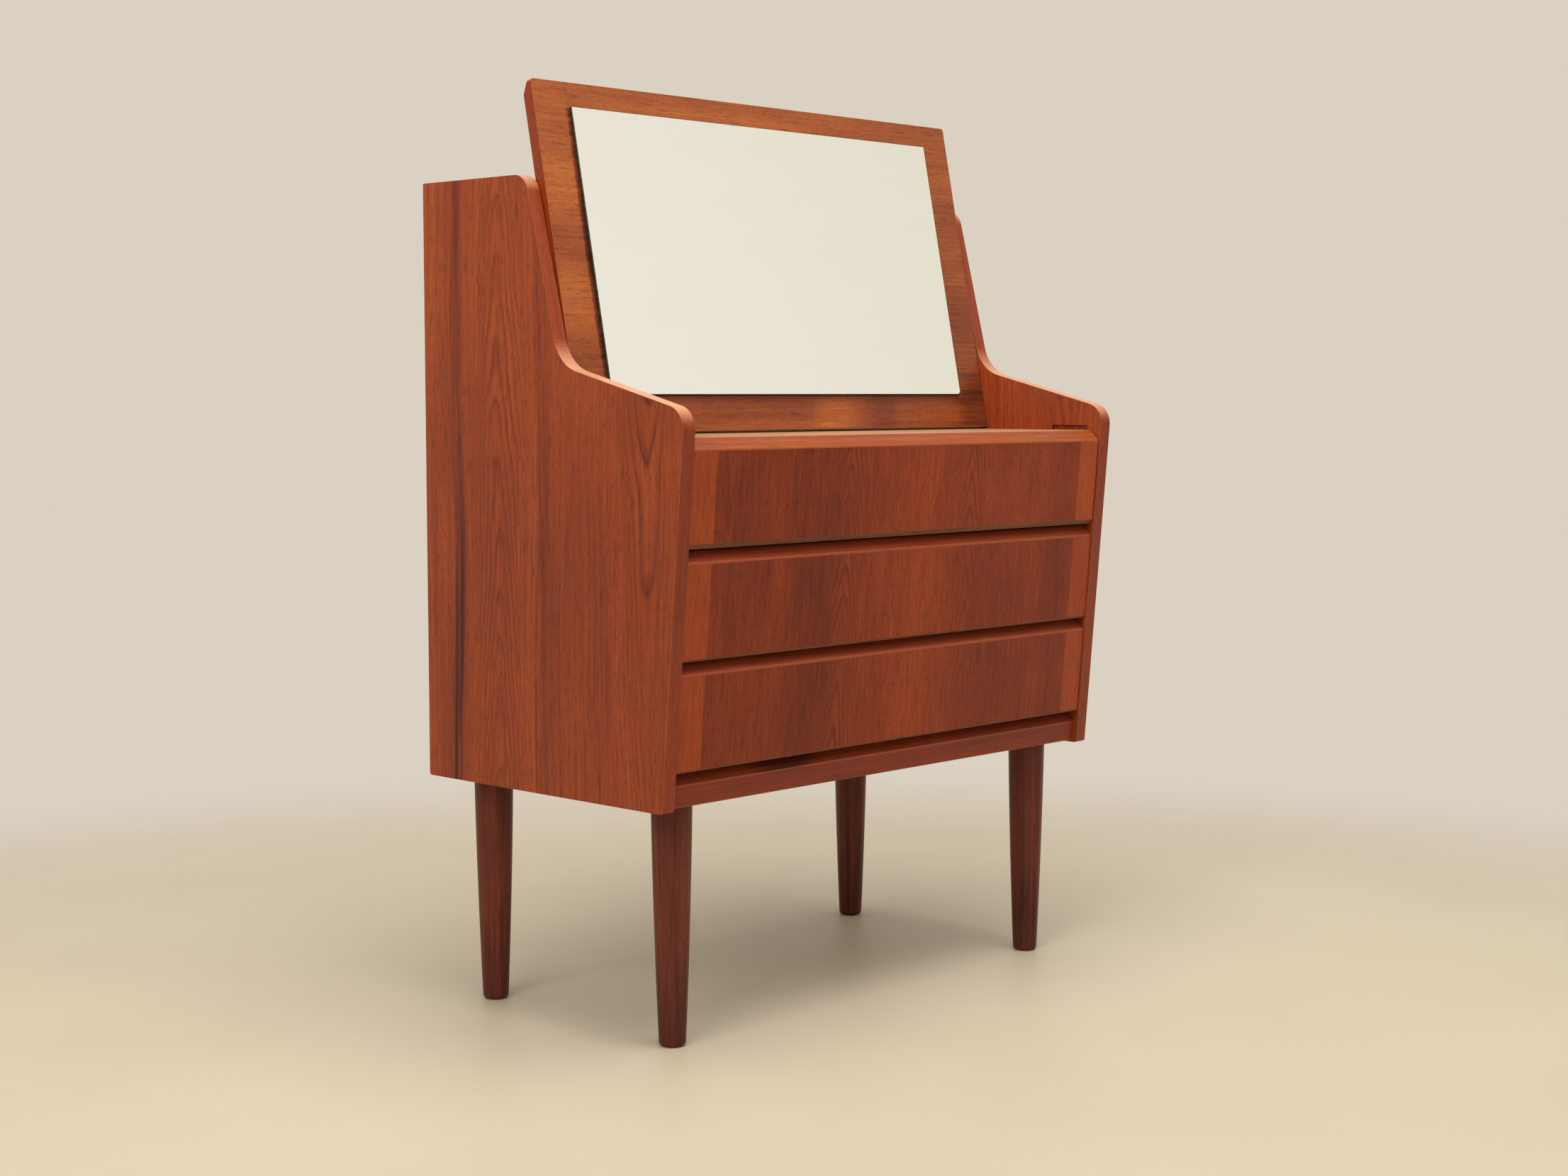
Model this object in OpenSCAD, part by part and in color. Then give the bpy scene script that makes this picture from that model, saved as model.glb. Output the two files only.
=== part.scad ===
// Vanity table with three drawers and a leaning mirror panel.
// +X is to the right, +Y to the back and +Z up. The origin is on the floor, under the middle of the bounding box.
// Profiles are drawn in (depth, height): depth is 0 at the sides' back edge and negative towards the front.

/* [Cabinet] */
// Overall width across the two sides
width = 800; // [660:10:960]
// Thickness of each side
side_thickness = 19; // [16:0.5:23]
// Height of the sides' bottom edge above the floor
underside_height = 287.5; // [220:0.5:360]
// Height of the wings' top edge above the table top
wing_rise = 306; // [280:1:340]
// Depth of a side at its bottom edge
base_depth = 421; // [390:1:510]
// Forward lean of the front edges and drawer fronts, in degrees
front_lean = 4.85; // [2:0.05:6]

/* [Side outline] */
// Depth of the wing at its top edge
wing_depth = 192.5; // [185:0.5:215]
// Lean of the wing's front edge from upright, in degrees
wing_lean = 14.35; // [12:0.05:16]
// Height of the arm's front corner above the table top
arm_rise = 30; // [25:1:40]
// Slope of the arm, in degrees
arm_slope = 14; // [10:0.5:18]
// Radius of the wing's top front corner
wing_radius = 25; // [10:1:30]
// Radius of the hollow between wing and arm
hollow_radius = 52; // [30:1:60]
// Radius of the arm's front corner
arm_radius = 28; // [15:1:32]
// Radius of the small corners
small_radius = 4; // [2:0.5:6]
// Length of the short stopped slot above the table top
slot_length = 59; // [40:1:80]
// Height of the stopped slot
slot_height = 6; // [4:0.5:8]
// Depth of the stopped slot
slot_depth = 5; // [3:0.5:8]
// Distance of the stopped slot behind the front edge
slot_inset = 23; // [15:1:40]

/* [Boards] */
// Thickness of the table top
table_thickness = 18; // [16:1:20]
// Thickness of the bottom panel and the top shelf
panel_thickness = 16; // [15:1:20]
// Drop of the top shelf's surface below the wings' top edge
shelf_drop = 8; // [4:1:20]
// Thickness of the back panel
back_thickness = 4; // [3:0.5:6]
// Depth of the rabbet that holds the back panel, across a side's thickness
rabbet_width = 8; // [6:1:10]
// Rise of the apron and bottom panel above the sides' bottom edge
bottom_rise = 3; // [1:0.5:6]
// Height of the apron's front face
apron_height = 25.6; // [20:0.1:32]
// Setback of the apron's face behind the drawer faces
apron_setback = 5; // [2:0.5:8]

/* [Drawers] */
// Distance from one drawer to the next
drawer_pitch = 128.3; // [107:0.1:154]
// Gap between one drawer front and the next
front_spacing = 2.3; // [1:0.1:4]
// Thickness of a drawer front
front_thickness = 18; // [15:0.1:22]
// Setback of the drawer faces behind the sides' front edges
front_setback = 2; // [1:0.5:4]
// Gap at each end of a drawer front
front_gap = 1; // [0.5:0.1:2]
// Size of the chamfer along a front's top edge
top_chamfer = 13; // [8:0.5:14]
// Heights of the bevelled strips along the fronts' bottom edges, top drawer first
bottom_strips = [6, 3, 2.5]; // [2:0.5:8]
// Height of the top lipping's front below the chamfer
lipping_drop = 2; // [1:0.5:5]
// Width of the strip at each end of a front
end_strip = 39; // [20:1:60]
// Thickness of a drawer's sides and back
box_thickness = 12; // [11:0.5:14]
// Room between the top drawer's sides and the table top
box_room = 12; // [6:1:25]
// Thickness of a drawer's bottom
ply_thickness = 4; // [3:0.5:5]
// How far a drawer opens
drawer_travel = 280; // [150:10:300]

/* [Runners] */
// Height of a runner
runner_height = 15; // [12:0.5:20]
// How far a runner stands out from the side
runner_depth = 9; // [8:0.5:10]
// Clearance between a runner and its groove
runner_clearance = 0.5; // [0.3:0.1:0.8]

/* [Mirror] */
// Gap between the mirror panel and each side
panel_gap = 2; // [1.5:0.5:8]
// Distance from the pivot to the panel's top edge
panel_reach = 366; // [330:1:400]
// Thickness of the mirror panel
panel_board = 16; // [13:0.1:20]
// Backward lean of the mirror at rest, in degrees
mirror_lean = 11.44; // [10:0.1:13]
// Forward tilt of the mirror from rest, in degrees
mirror_tilt = 30; // [10:1:35]
// Distance from the sides' back edge to the pivot
pivot_depth = 244; // [230:1:255]
// Height of the pivot above the table top
pivot_height = 60; // [45:1:64]
// Smallest gap between the swinging panel and the table top
heel_gap = 0.8; // [0.5:0.1:2]
// Radius of the panel's top corners
panel_radius = 4; // [2:1:30]
// Panel left bare on each side of the glass
glass_side_margin = 54; // [20:1:100]
// Panel left bare above the glass
glass_top_margin = 31; // [18:1:60]
// Distance of the glass's bottom edge below the pivot
glass_drop = 15; // [0:1:30]
// Thickness of the glass
glass_thickness = 4; // [3:0.5:6]
// Thickness of the adhesive strips behind the glass
tape_thickness = 1; // [0.5:0.1:2]
// Diameter of the pivot pins
pin_d = 8; // [6:0.5:9]

/* [Legs] */
// Diameter at the top of a leg
leg_top_d = 49; // [40:1:60]
// Diameter at the foot of a leg
leg_foot_d = 32; // [25:1:40]
// Distance from a side's outer face to a leg's axis
leg_inset = 64; // [50:1:90]
// Distance from the back edge to the rear legs' axis
leg_back = 47; // [35:1:60]
// Distance from the sides' bottom front corner to the front legs' axis
leg_front = 51; // [40:1:70]
// Diameter of the leg studs
stud_d = 8; // [6:1:10]

/* [Hidden] */
$fn = 48;
slip = 0.2;                                   // clearance of a piece held in a groove
over = 1;                                     // how far a cutter runs past a face
SIDES = [-1, 1];
LEVELS = [0, 1, 2];                           // top, middle and bottom drawer
inner = width / 2 - side_thickness;           // half the clear width between the sides
back_inset = back_thickness + 1;              // depth taken by the rabbet for the back panel
panel_underside = underside_height + bottom_rise;
panel_top = panel_underside + panel_thickness;
apron_top = panel_underside + apron_height + top_chamfer;
table_height = apron_top + len(LEVELS) * drawer_pitch;
top_height = table_height + wing_rise;
shelf_top = top_height - shelf_drop;
shelf_underside = shelf_top - panel_thickness;

// ---- outline geometry ----
function unit(v) = v / norm(v);
function sweep(a, b) = let (d = b - a) d > 180 ? d - 360 : d < -180 ? d + 360 : d;
// Points of the arc that rounds the corner p, between its neighbours a and b
function arc_corner(a, p, b, r) =
    let (u = unit(a - p), w = unit(b - p), half = acos(u * w) / 2,
         run = r / tan(half), c = p + unit(u + w) * r / sin(half),
         s = p + u * run - c, e = p + w * run - c,
         a0 = atan2(s.y, s.x), turn = sweep(a0, atan2(e.y, e.x)), n = max(2, ceil(abs(turn) / 6)))
    [for (i = [0:n]) c + r * [cos(a0 + turn * i / n), sin(a0 + turn * i / n)]];
// Closed outline through corners given as [depth, height, radius]
function outline(k) =
    let (n = len(k), p = [for (q = k) [q[0], q[1]]])
    [for (i = [0:n - 1]) each k[i][2] > 0
        ? arc_corner(p[(i + n - 1) % n], p[i], p[(i + 1) % n], k[i][2]) : [p[i]]];

// Depth of the sides' front edge line, and of the drawer faces, at a height
function edge_at(z) = -base_depth - (z - underside_height) * tan(front_lean);
function face_at(z) = edge_at(z) + front_setback;
function board_back_at(z) = face_at(z) + front_thickness;

// Where the arm's line meets the front edge, and where it meets the wing's line
arm_z = table_height + arm_rise;
arm_corner = [edge_at(arm_z), arm_z];
wing_corner = [-wing_depth, top_height];
hollow_z = (arm_z + (wing_corner.x - top_height * tan(wing_lean) - arm_corner.x) * tan(arm_slope))
         / (1 - tan(wing_lean) * tan(arm_slope));
hollow_corner = [wing_corner.x - (top_height - hollow_z) * tan(wing_lean), hollow_z];
SIDE_OUTLINE = outline([
    [0, underside_height, small_radius], [edge_at(underside_height), underside_height, small_radius],
    [arm_corner.x, arm_corner.y, arm_radius], [hollow_corner.x, hollow_corner.y, hollow_radius],
    [wing_corner.x, wing_corner.y, wing_radius], [0, top_height, small_radius / 2]]);
overall_depth = -min([for (p = SIDE_OUTLINE) p.x]);

// Heights of the drawer fronts
front_height = drawer_pitch - front_spacing;
function front_top(level) = table_height - level * drawer_pitch;
function front_bottom(level) = front_top(level) - front_height;
function strip_top(level) = front_bottom(level) + bottom_strips[level];
box_rise = 8;                                 // drawer sides' lower edge above the front's
box_height = front_height - box_rise - table_thickness - box_room;
function box_bottom(level) = front_bottom(level) + box_rise;
function runner_z(level) = box_bottom(level) + box_height / 2;
box_back = -(back_inset + 25);                // depth of the drawer boxes' rear ends
box_half = inner - 2;                         // half the width of a drawer box
front_half = inner - front_gap;               // half the width of a drawer front
groove_depth = runner_depth - (inner - box_half) + 0.5;
ply_rise = 6;                                 // drawer bottom above the sides' lower edge
ply_groove = 5;
runner_back = -(back_inset + 8);
runner_stop = 0.6;                            // gap from runner end to the closed drawer front

// Mirror geometry, in the panel's own frame: v across its thickness, u up along it, pivot at 0
pivot_z = table_height + pivot_height;
panel_width = 2 * (inner - panel_gap);
glass_width = panel_width - 2 * glass_side_margin;
glass_height = panel_reach + glass_drop - glass_top_margin;
half_board = panel_board / 2;
heel = sqrt(pow(pivot_height - heel_gap, 2) - pow(half_board, 2));  // pivot to the panel's lower edge
stop_angle = mirror_tilt - mirror_lean;
stop_depth = -pivot_depth + heel * sin(stop_angle) + half_board * cos(stop_angle) + 0.5;
finger_flat = 6;                              // flat left on the panel's top edge
finger_bevel = 16;                            // height of the finger bevel behind it
bush_length = 20;
bush_wall = 1.5;
bush_play = 0.05;
pin_hold = 13;                                // pin length held in a side
pin_reach = 16;                               // pin length inside the bush
washer_play = 0.4;
pad_gap = 0.3;
pad_height = 2;
pad_d = 12;
pad_u = (shelf_underside + panel_thickness / 2 - pivot_z + half_board * sin(mirror_lean)) / cos(mirror_lean);
shelf_gap = pad_height + pad_gap;
// Depth of the shelf's front edge at a height: parallel to the leaning panel's back
function shelf_front_at(z) = -pivot_depth + (z - pivot_z) * tan(mirror_lean)
                           + (half_board + shelf_gap) / cos(mirror_lean);

// Fasteners
dowel_d = 8;
dowel_in_side = 12;
dowel_in_board = 22;
dowel_slack = 0.5;                            // room at each end of a dowel
screw_d = 3.5;
screw_head_d = 7;
runner_screw = 18;
back_screw = 16;
stud_in_leg = 38;
nut_d = stud_d + 2.5;
nut_flange_d = 22;
nut_flange = 1.5;
nut_barrel = 9;
leg_length = panel_underside;
leg_x = width / 2 - leg_inset;
leg_front_y = -base_depth + leg_front;
DOWEL_ROWS = [                                // [height, front depth, back depth] of each board's dowels
    [panel_underside + panel_thickness / 2, -base_depth + 60, -60],
    [table_height - table_thickness / 2, -base_depth + 35, -60],
    [shelf_underside + panel_thickness / 2, -150, -45]];
BACK_ROWS = [panel_underside + panel_thickness / 2, table_height - table_thickness / 2,
             shelf_underside + panel_thickness / 2];
BACK_COLUMNS = [for (i = [-2:2]) i * (inner - 30) / 2];
RUNNER_SCREWS = [-base_depth + 60, -base_depth / 2, -60];

// ---- placing ----
// Moves pieces drawn from the sides' back edge into the part's frame
module placed() { translate([0, overall_depth / 2, 0]) children(); }
// Extrudes a (depth, height) profile along X from x0 to x1
module along_x(x0, x1, points) {
    translate([x0, 0, 0]) rotate([90, 0, 90]) linear_extrude(x1 - x0) polygon(points);
}
// A block between two corners
module block(a, b) { translate(a) cube(b - a); }
// A cylinder along X from x0 to x1
module rod_x(x0, x1, y, z, d) {
    translate([min(x0, x1), y, z]) rotate([0, 90, 0]) cylinder(h = abs(x1 - x0), d = d);
}
// The leaning frame of the mirror, with its pivot on the local X axis
module leaning() { translate([0, -pivot_depth, pivot_z]) rotate([-mirror_lean, 0, 0]) children(); }

// ---- sides ----
module side(s) {
    x_in = s * inner;
    color("sienna") placed() difference() {
        along_x(min(x_in, s * width / 2), max(x_in, s * width / 2), SIDE_OUTLINE);
        rabbet(s);
        stopped_slot(s);
        for (r = DOWEL_ROWS, y = [r[1], r[2]]) rod_x(x_in - s * over, x_in + s * dowel_in_side, y, r[0], dowel_d);
        for (n = LEVELS, y = RUNNER_SCREWS)
            rod_x(x_in - s * over, x_in + s * (runner_screw - runner_depth + 1), y, runner_z(n), screw_d);
        rod_x(x_in - s * over, x_in + s * pin_hold, -pivot_depth, pivot_z, pin_d);
    }
}
module rabbet(s) {
    a = s * (inner - over);
    b = s * (inner + rabbet_width);
    block([min(a, b), -back_inset, panel_underside], [max(a, b), over, shelf_top]);
}
// The slot lies just above the table top
module stopped_slot(s) {
    a = s * (inner - over);
    b = s * (inner + slot_depth);
    front = edge_at(table_height) + slot_inset;
    z0 = table_height + 0.5;
    block([min(a, b), front, z0], [max(a, b), front + slot_length, z0 + slot_height]);
}

// ---- fixed boards ----
module cross_board(z0, z1, front0, front1, row, shade) {
    color(shade) placed() difference() {
        along_x(-inner, inner, [[-back_inset, z0], [front0, z0], [front1, z1], [-back_inset, z1]]);
        board_dowels(row);
        board_screws(z0, z1);
    }
}
module board_dowels(row) {
    for (s = SIDES, y = [row[1], row[2]]) rod_x(s * (inner + over), s * (inner - dowel_in_board), y, row[0], dowel_d);
}
module board_screws(z0, z1) {
    for (x = BACK_COLUMNS) screw_hole_y(x, (z0 + z1) / 2);
}
module screw_hole_y(x, z) {
    translate([x, over, z]) rotate([90, 0, 0]) cylinder(h = over + back_screw + 1, d = screw_d);
}
module table_top() {
    gap = 1.5;
    bottom = table_height - table_thickness;
    cross_board(bottom, table_height, board_back_at(bottom) + gap, board_back_at(table_height) + gap,
                DOWEL_ROWS[1], "peru");
}
module top_shelf() {
    cross_board(shelf_underside, shelf_top, shelf_front_at(shelf_underside), shelf_front_at(shelf_top),
                DOWEL_ROWS[2], "peru");
}
module bottom_panel() {
    difference() {
        cross_board(panel_underside, panel_top, apron_back_at(panel_underside), apron_back_at(panel_top),
                    DOWEL_ROWS[0], "burlywood");
        placed() at_legs() translate([0, 0, panel_underside - over]) cylinder(h = panel_thickness + 2 * over, d = nut_d);
    }
}
function apron_face_at(z) = face_at(z) + apron_setback;
function apron_back_at(z) = apron_face_at(z) + front_thickness;
module apron() {
    color("sienna") placed()
        along_x(-inner, inner, chamfered(panel_underside, apron_top - top_chamfer, apron_setback));
}
// Profile of a chamfered rail or front between z0 and the arris, with the chamfer above it
function chamfered(z0, arris, setback) = [
    [face_at(z0) + setback, z0], [face_at(arris) + setback, arris],
    [face_at(arris) + setback + top_chamfer, arris + top_chamfer],
    [board_back_at(arris + top_chamfer) + setback, arris + top_chamfer], [board_back_at(z0) + setback, z0]];
module back_panel() {
    half = inner + rabbet_width - slip;
    color("tan") placed() difference() {
        block([-half, -back_inset, panel_underside], [half, -back_inset + back_thickness, shelf_top]);
        for (x = BACK_COLUMNS, z = BACK_ROWS) screw_hole_y(x, z);
    }
}
module back_screws() {
    color("silver") placed() for (x = BACK_COLUMNS, z = BACK_ROWS)
        translate([x, -back_inset + back_thickness, z]) rotate([90, 0, 0]) screw(back_screw, 0.9);
}
// A screw along +Z with its head's top at z = -head
module screw(length, head) {
    cylinder(h = length, d = screw_d);
    translate([0, 0, -head]) cylinder(h = head, d = screw_head_d);
}
module carcass_dowels() {
    color("wheat") placed() for (r = DOWEL_ROWS, y = [r[1], r[2]], s = SIDES)
        rod_x(s * (inner + dowel_in_side - dowel_slack), s * (inner - dowel_in_board + dowel_slack), y, r[0], dowel_d);
}
module mirror_stop() {
    color("peru") placed()
        block([-inner + 30, stop_depth, table_height], [inner - 30, stop_depth + 12, table_height + 18]);
}
module bumper_pads() {
    color("dimgray") placed() leaning() for (s = SIDES)
        translate([s * inner * 0.8, half_board + pad_gap, pad_u]) rotate([-90, 0, 0]) cylinder(h = pad_height, d = pad_d);
}

// ---- runners ----
module runner(level, s) {
    x0 = s * inner;
    x1 = s * (inner - runner_depth);
    z0 = runner_z(level) - runner_height / 2;
    z1 = z0 + runner_height;
    color("wheat") placed() difference() {
        along_x(min(x0, x1), max(x0, x1), [[runner_back, z0], [board_back_at(z0) + runner_stop, z0],
                                           [board_back_at(z1) + runner_stop, z1], [runner_back, z1]]);
        for (y = RUNNER_SCREWS) {
            rod_x(x0 + s * over, x1 - s * over, y, runner_z(level), screw_d);
            rod_x(x1 + s * 2, x1 - s * over, y, runner_z(level), screw_head_d);
        }
    }
}
module runner_screws() {
    color("silver") placed() for (level = LEVELS, s = SIDES, y = RUNNER_SCREWS)
        translate([s * (inner - runner_depth + 2), y, runner_z(level)]) rotate([0, s * 90, 0]) screw(runner_screw - 2, 1.6);
}

// ---- mirror pivots ----
module pivot_pin(s) {
    color("silver") placed()
        rod_x(s * (inner + pin_hold), s * (panel_width / 2 - pin_reach), -pivot_depth, pivot_z, pin_d);
}
module pivot_washers() {
    washer = panel_gap - washer_play;
    color("ivory") placed() for (s = SIDES) difference() {
        rod_x(s * inner, s * (inner - washer), -pivot_depth, pivot_z, pin_d + 8);
        rod_x(s * (inner + over), s * (inner - washer - over), -pivot_depth, pivot_z, pin_d);
    }
}
module pivot_bush(s) {
    end = s * panel_width / 2;
    color("goldenrod") placed() difference() {
        rod_x(end, end - s * bush_length, -pivot_depth, pivot_z, pin_d + 2 * bush_play + 2 * bush_wall);
        rod_x(end + s * over, end - s * (bush_length + over), -pivot_depth, pivot_z, pin_d + 2 * bush_play);
    }
}

// ---- mirror ----
module mirror_panel() {
    half = panel_width / 2;
    face = outline([[-half, -heel, 0], [half, -heel, 0],
                    [half, panel_reach, panel_radius], [-half, panel_reach, panel_radius]]);
    color("chocolate") placed() leaning() difference() {
        translate([0, half_board, 0]) rotate([90, 0, 0]) linear_extrude(panel_board) polygon(face);
        finger_cut(half);
        for (s = SIDES) rod_x(s * (half + over), s * (half - bush_length), 0, 0, pin_d + 2 * bush_play + 2 * bush_wall);
    }
}
// The bevel behind the panel's top edge, where fingers pull it forward
module finger_cut(half) {
    depth = panel_board - finger_flat;
    along_x(-half - over, half + over, [
        [half_board + over, panel_reach - finger_bevel * (1 + over / depth)],
        [half_board - depth - over, panel_reach + finger_bevel * over / depth],
        [half_board + over, panel_reach + finger_bevel * over / depth]]);
}
module mirror_glass() {
    front = half_board + tape_thickness;
    color("lightcyan") placed() leaning()
        block([-glass_width / 2, -front - glass_thickness, -glass_drop],
              [glass_width / 2, -front, glass_height - glass_drop]);
}
module mirror_tape() {
    strip = 25;
    color("white") placed() leaning() for (i = [-3:2:3])
        translate([i * glass_width / 8 - strip / 2, -half_board - tape_thickness, 15 - glass_drop])
            cube([strip, tape_thickness, glass_height - 30]);
}

// ---- drawers ----
module drawer_front(level) {
    half = front_half - end_strip;
    color("sienna") placed() difference() {
        along_x(-half, half, front_panel(level));
        bottom_groove(level);
    }
}
// Profile of a front between its bottom strip and its top lipping
function front_panel(level) =
    let (low = strip_top(level), high = front_top(level) - top_chamfer - lipping_drop)
    [[face_at(low), low], [face_at(high), high], [board_back_at(high), high], [board_back_at(low), low]];
module drawer_end_strips(level) {
    color("peru") placed() difference() {
        for (s = SIDES) {
            a = s * front_half;
            b = s * (front_half - end_strip);
            along_x(min(a, b), max(a, b), front_panel(level));
        }
        bottom_groove(level);
    }
}
module drawer_top_lipping(level) {
    arris = front_top(level) - top_chamfer;
    color("peru") placed() along_x(-front_half, front_half, chamfered(arris - lipping_drop, arris, 0));
}
module drawer_bottom_lipping(level) {
    z0 = front_bottom(level);
    z1 = strip_top(level);
    bevel = (z1 - z0) * 0.75;
    color("olivedrab") placed() along_x(-front_half, front_half,
        [[face_at(z1), z1], [face_at(z0) + bevel, z0], [board_back_at(z0), z0], [board_back_at(z1), z1]]);
}
// Groove for the drawer's bottom in the back of its front
module bottom_groove(level) {
    z0 = box_bottom(level) + ply_rise - slip / 2;
    x = box_half - box_thickness + ply_groove + slip;
    block([-x, board_back_at(z0) - ply_groove - slip, z0], [x, board_back_at(z0) + 2 * over, z0 + ply_thickness + slip]);
}
module drawer_side(level, s) {
    z0 = box_bottom(level);
    z1 = z0 + box_height;
    x0 = s * box_half;
    x1 = s * (box_half - box_thickness);
    half_groove = runner_height / 2 + runner_clearance;
    color("burlywood") placed() difference() {
        along_x(min(x0, x1), max(x0, x1), [[box_back, z0], [board_back_at(z0), z0], [board_back_at(z1), z1], [box_back, z1]]);
        side_groove(x0 + s * over, x0 - s * groove_depth, runner_z(level) - half_groove, runner_z(level) + half_groove);
        side_groove(x1 - s * over, x1 + s * (ply_groove + slip), z0 + ply_rise - slip / 2,
                    z0 + ply_rise + ply_thickness + slip / 2);
    }
}
module side_groove(xa, xb, za, zb) {
    block([min(xa, xb), -overall_depth, za], [max(xa, xb), box_back + over, zb]);
}
module drawer_back(level) {
    half = box_half - box_thickness;
    z0 = box_bottom(level) + ply_rise + ply_thickness + slip / 2;
    color("burlywood") placed()
        block([-half, box_back - box_thickness, z0], [half, box_back, box_bottom(level) + box_height - 6]);
}
module drawer_bottom(level) {
    half = box_half - box_thickness + ply_groove;
    z0 = box_bottom(level) + ply_rise;
    color("wheat") placed() block([-half, board_back_at(z0) - ply_groove, z0], [half, box_back, z0 + ply_thickness]);
}

// ---- legs ----
module at_legs() {
    for (s = SIDES, y = [leg_front_y, -leg_back]) translate([s * leg_x, y, 0]) children();
}
// Turned leg: a slightly swelling taper with a rounded foot and a bore for its stud
module leg(s, y) {
    foot_round = 5;
    steps = 10;
    // Radius at a share t of the height: a straight taper with a slight swell
    function r_at(t) = leg_foot_d / 2 + (leg_top_d - leg_foot_d) / 2 * (1.45 * t - 0.45 * t * t);
    foot = [for (a = [0:15:90]) [r_at(foot_round / leg_length) - foot_round * (1 - sin(a)), foot_round * (1 - cos(a))]];
    shaft = [for (i = [1:steps]) [r_at(i / steps), leg_length * i / steps]];
    color("saddlebrown") placed() translate([s * leg_x, y, 0]) difference() {
        rotate_extrude($fn = 96) polygon(concat([[0, 0]], foot, shaft, [[0, leg_length]]));
        translate([0, 0, leg_length - stud_in_leg - 1]) cylinder(h = stud_in_leg + 2 * over, d = stud_d);
    }
}
module leg_studs() {
    color("silver") placed() at_legs() translate([0, 0, leg_length - stud_in_leg])
        cylinder(h = stud_in_leg + panel_thickness - 2, d = stud_d);
}
module leg_nuts() {
    color("silver") placed() at_legs() difference() {
        union() {
            translate([0, 0, panel_top - nut_barrel]) cylinder(h = nut_barrel, d = nut_d);
            translate([0, 0, panel_top]) cylinder(h = nut_flange, d = nut_flange_d);
        }
        translate([0, 0, panel_top - nut_barrel - over]) cylinder(h = nut_barrel + nut_flange + 2 * over, d = stud_d);
    }
}

side(-1);  // side_left
side(1);  // side_right
table_top();
top_shelf();
bottom_panel();
apron();
back_panel();
runner(0, -1);  // drawer_1_runner_left
runner(0, 1);  // drawer_1_runner_right
runner(1, -1);  // drawer_2_runner_left
runner(1, 1);  // drawer_2_runner_right
runner(2, -1);  // drawer_3_runner_left
runner(2, 1);  // drawer_3_runner_right
runner_screws();
back_screws();
carcass_dowels();
mirror_stop();
bumper_pads();
pivot_pin(-1);  // pivot_pin_left
pivot_pin(1);  // pivot_pin_right
pivot_washers();
leg(-1, leg_front_y);  // leg_front_left
leg(1, leg_front_y);  // leg_front_right
leg(-1, -leg_back);  // leg_back_left
leg(1, -leg_back);  // leg_back_right
leg_studs();
leg_nuts();
drawer_front(0);  // drawer_1_front
drawer_end_strips(0);  // drawer_1_end_strips
drawer_top_lipping(0);  // drawer_1_top_lipping
drawer_bottom_lipping(0);  // drawer_1_bottom_lipping
drawer_side(0, -1);  // drawer_1_side_left
drawer_side(0, 1);  // drawer_1_side_right
drawer_back(0);  // drawer_1_back
drawer_bottom(0);  // drawer_1_bottom
drawer_front(1);  // drawer_2_front
drawer_end_strips(1);  // drawer_2_end_strips
drawer_top_lipping(1);  // drawer_2_top_lipping
drawer_bottom_lipping(1);  // drawer_2_bottom_lipping
drawer_side(1, -1);  // drawer_2_side_left
drawer_side(1, 1);  // drawer_2_side_right
drawer_back(1);  // drawer_2_back
drawer_bottom(1);  // drawer_2_bottom
drawer_front(2);  // drawer_3_front
drawer_end_strips(2);  // drawer_3_end_strips
drawer_top_lipping(2);  // drawer_3_top_lipping
drawer_bottom_lipping(2);  // drawer_3_bottom_lipping
drawer_side(2, -1);  // drawer_3_side_left
drawer_side(2, 1);  // drawer_3_side_right
drawer_back(2);  // drawer_3_back
drawer_bottom(2);  // drawer_3_bottom
mirror_panel();
mirror_glass();
mirror_tape();
pivot_bush(-1);  // pivot_bush_left
pivot_bush(1);  // pivot_bush_right
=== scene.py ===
import math

import bmesh
import bpy
from mathutils import Matrix, Vector
from mathutils.geometry import intersect_point_line


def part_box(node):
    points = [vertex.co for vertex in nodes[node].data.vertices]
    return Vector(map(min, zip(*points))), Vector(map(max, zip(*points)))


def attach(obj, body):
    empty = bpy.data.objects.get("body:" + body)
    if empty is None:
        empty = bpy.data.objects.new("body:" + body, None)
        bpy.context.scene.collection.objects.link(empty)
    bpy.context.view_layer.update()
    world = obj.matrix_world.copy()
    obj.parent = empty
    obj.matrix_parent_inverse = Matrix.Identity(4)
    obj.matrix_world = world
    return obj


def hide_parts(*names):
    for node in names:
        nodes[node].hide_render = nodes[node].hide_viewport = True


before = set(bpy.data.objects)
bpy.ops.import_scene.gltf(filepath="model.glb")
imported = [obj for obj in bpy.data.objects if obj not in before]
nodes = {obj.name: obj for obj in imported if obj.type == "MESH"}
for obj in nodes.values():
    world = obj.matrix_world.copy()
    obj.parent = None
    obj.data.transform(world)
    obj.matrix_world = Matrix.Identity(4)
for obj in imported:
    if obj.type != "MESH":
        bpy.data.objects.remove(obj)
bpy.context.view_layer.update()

mm = 0.001
tiny = 0.01 * mm  # two places closer than this count as one
squareOn = 0.999  # a face looks straight along a direction when its normal has this much of it
scene = bpy.context.scene
drawerBodies = {1: "drawer_top", 2: "drawer_middle", 3: "drawer_bottom"}
mirrorLean = math.radians(11.44)  # how far the mirror leans back at rest
mirrorFacing = Vector((0, -math.cos(mirrorLean), math.sin(mirrorLean)))
mirrorDown = Vector((0, -math.sin(mirrorLean), -math.cos(mirrorLean)))


def linearColour(hexColour):  # sRGB hex to the linear values that shaders use
    channels = [int(hexColour[i:i + 2], 16) / 255 for i in (1, 3, 5)]
    return tuple(c / 12.92 if c <= 0.04045 else ((c + 0.055) / 1.055) ** 2.4 for c in channels) + (1.0,)


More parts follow.
